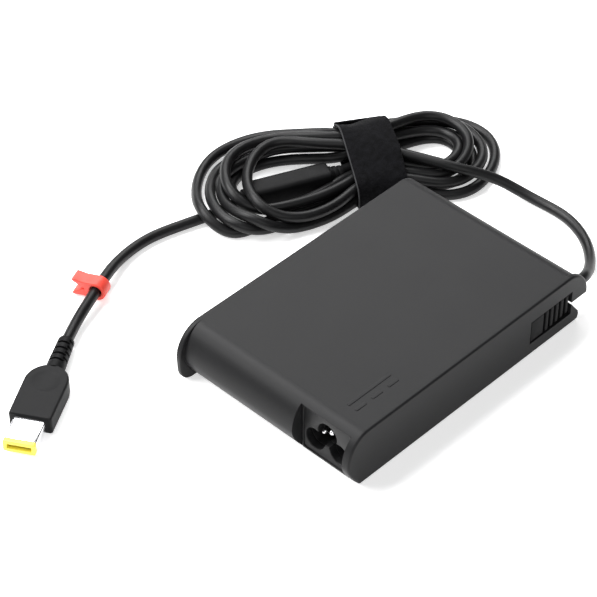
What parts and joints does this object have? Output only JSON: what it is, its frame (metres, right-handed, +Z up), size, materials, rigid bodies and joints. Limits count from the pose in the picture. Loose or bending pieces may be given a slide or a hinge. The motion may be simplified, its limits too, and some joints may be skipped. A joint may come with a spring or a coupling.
{
  "type": "laptop power adapter",
  "caption": "Slim rectangular laptop power adapter with rolled ends, a three-pin mains inlet, and a DC cord tied in a hank with a flat rectangular plug.",
  "frame": {"origin": "centre of the case's underside, on the surface that it stands on", "axes": "+X along the case to the end that the DC cord leaves, +Y across it to the side where the cord's hank lies, +Z up"},
  "size_m": [0.2358, 0.1532, 0.022],
  "materials": {
    "case": "fine matte texture, charcoal",
    "label": "satin printed film, left blank",
    "inlet_plastic": "satin moulded",
    "contact_metal": "bright plated",
    "soft_rubber": "matte moulded",
    "shield_metal": "rolled sheet",
    "insulation_film": "amber film",
    "circuit_board": "solder mask",
    "component_grey": "matte",
    "component_green": "dipped coating",
    "component_black": "moulded epoxy",
    "film_capacitor": "moulded box",
    "ferrite": "sintered",
    "copper_wire": "enamelled copper winding",
    "capacitor_sleeve": "shrink sleeve",
    "capacitor_can": "drawn can",
    "wire_jacket": "insulated hook-up wire",
    "cord_jacket": "smooth extruded jacket, satin",
    "strap_fabric": "hook-and-loop pile",
    "clip_red": "soft moulded, coral red",
    "plug_plastic": "fine matte moulded",
    "plug_metal": "bright plated shell",
    "tip_yellow": "moulded insulator"
  },
  "bodies": {
    "adapter": {"upper_case": "case", "base_cover": "case", "rating_label": "label", "inlet_housing": "inlet_plastic", "line_pin": "contact_metal", "neutral_pin": "contact_metal", "earth_pin": "contact_metal", "outlet_strain_relief": "soft_rubber", "lower_heat_spreader": "shield_metal", "insulation_sheet": "insulation_film", "main_board": "circuit_board", "upper_heat_spreader": "shield_metal", "fuse": "component_grey", "x_capacitor": "film_capacitor", "bridge_rectifier": "component_black", "thermistor": "component_green", "line_choke_core": "ferrite", "line_choke_winding_left": "copper_wire", "line_choke_winding_right": "copper_wire", "bulk_capacitor_1": "capacitor_sleeve", "bulk_capacitor_2": "capacitor_sleeve", "boost_choke_core": "ferrite", "boost_choke_winding": "copper_wire", "transformer_core": "ferrite", "transformer_winding": "copper_wire", "primary_heat_sink": "shield_metal", "boost_switch": "component_black", "main_switch": "component_black", "secondary_heat_sink": "shield_metal", "rectifier_switch": "component_black", "output_capacitor_1": "capacitor_can", "output_capacitor_2": "capacitor_can", "output_capacitor_3": "capacitor_can", "output_choke_core": "ferrite", "safety_capacitor": "component_grey", "optocoupler": "component_black", "control_chip": "component_black", "secondary_chip": "component_black", "line_wire": "wire_jacket", "neutral_wire": "wire_jacket", "earth_wire": "wire_jacket", "output_positive_wire": "wire_jacket", "output_negative_wire": "wire_jacket", "dc_cord_lead": "cord_jacket", "dc_cord_tail": "cord_jacket", "dc_cord_hank_left": "cord_jacket", "dc_cord_hank_middle": "cord_jacket", "dc_cord_hank_right": "cord_jacket", "ferrite_block": "soft_rubber", "plug_body": "plug_plastic", "plug_barrel": "plug_metal", "plug_tip": "tip_yellow", "plug_centre_pin": "contact_metal", "plug_strain_relief": "soft_rubber"},
    "strap": {"cord_strap": "strap_fabric"},
    "strap_end": {"strap_tab": "strap_fabric"},
    "clip": {"cord_clip": "clip_red"}
  },
  "joints": [
    {"name": "strap_slide", "type": "slide", "parent": "adapter", "child": "strap", "axis": [0.8387, -0.5446, 0], "range_m": [-0.004, 0.004]},
    {"name": "strap_peel", "type": "hinge", "parent": "strap", "child": "strap_end", "pos_m": [0.07643, 0.08394, 0.0092], "axis": [0.8387, -0.5446, 0], "range_deg": [0, 100]},
    {"name": "clip_slide", "type": "slide", "parent": "adapter", "child": "clip", "axis": [-0.9191, -0.3939, 0], "range_m": [-0.004, 0.004]}
  ]
}
